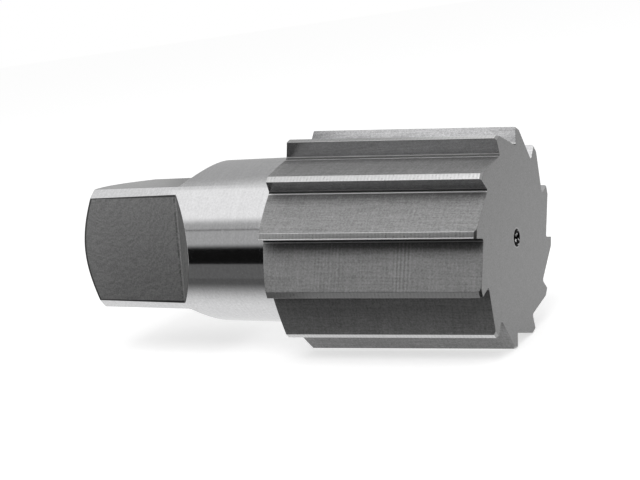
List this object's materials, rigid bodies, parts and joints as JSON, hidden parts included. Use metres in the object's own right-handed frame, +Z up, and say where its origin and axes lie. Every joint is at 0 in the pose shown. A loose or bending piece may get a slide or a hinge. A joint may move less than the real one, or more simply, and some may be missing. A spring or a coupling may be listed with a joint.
{
  "type": "taper pipe reamer",
  "caption": "Straight-fluted taper pipe reamer: a short tapered head with radial cutting teeth, a plain round shank and a square drive end.",
  "frame": {"origin": "on the surface it lies on, under the middle of its box: the head rests along two teeth", "axes": "+X towards the small cutting end, +Z up, +Y completes the right-handed frame; the tool's axis dips 1.74 degrees towards +X because it lies on its taper"},
  "size_m": [0.0968, 0.0444, 0.0443],
  "materials": {
    "tool_steel": "ground and polished"
  },
  "bodies": {
    "root": {"reamer": "tool_steel"}
  },
  "joints": []
}
